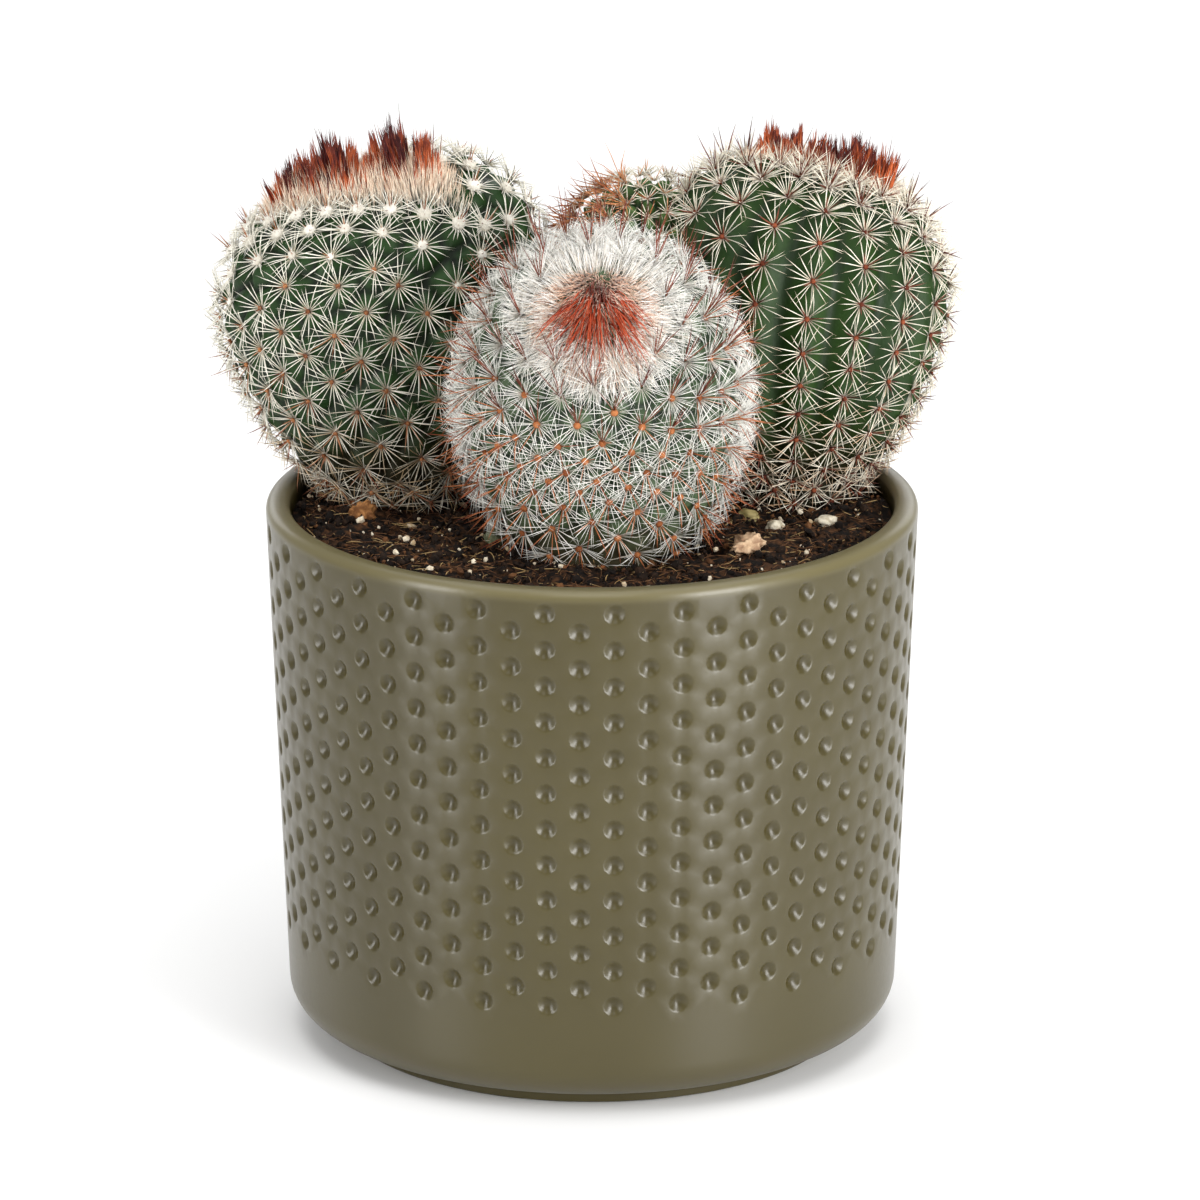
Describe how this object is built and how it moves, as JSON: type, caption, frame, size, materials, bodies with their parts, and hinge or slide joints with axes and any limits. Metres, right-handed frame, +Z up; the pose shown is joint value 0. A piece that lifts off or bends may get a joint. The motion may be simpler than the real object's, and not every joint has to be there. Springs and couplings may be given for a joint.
{
  "type": "potted ball cactus",
  "caption": "Clump of spiny ball cactus heads with woolly crowns in a round glazed cover pot with a dimpled wall.",
  "frame": {"origin": "centre of the pot's flat foot, on the surface that it stands on", "axes": "+Z up, -Y towards the side where the lowest head stands, +X to the viewer's right from there"},
  "size_m": [0.1659, 0.1398, 0.1958],
  "materials": {
    "glaze": "satin",
    "soil": "matte",
    "flesh_grey": "matte",
    "flesh_green": "matte",
    "flesh_fuzzy": "matte",
    "crown_wool": "matte",
    "pebble": "matte",
    "chip": "matte"
  },
  "bodies": {
    "root": {"pot": "glaze", "soil": "soil", "head_front": "flesh_fuzzy", "head_left": "flesh_grey", "head_right": "flesh_green", "crown_front": "crown_wool", "crown_left": "crown_wool", "crown_right": "crown_wool", "pebble_1": "pebble", "pebble_2": "chip", "pebble_3": "pebble", "pebble_4": "chip", "pebble_5": "chip", "pebble_6": "pebble"}
  },
  "joints": []
}
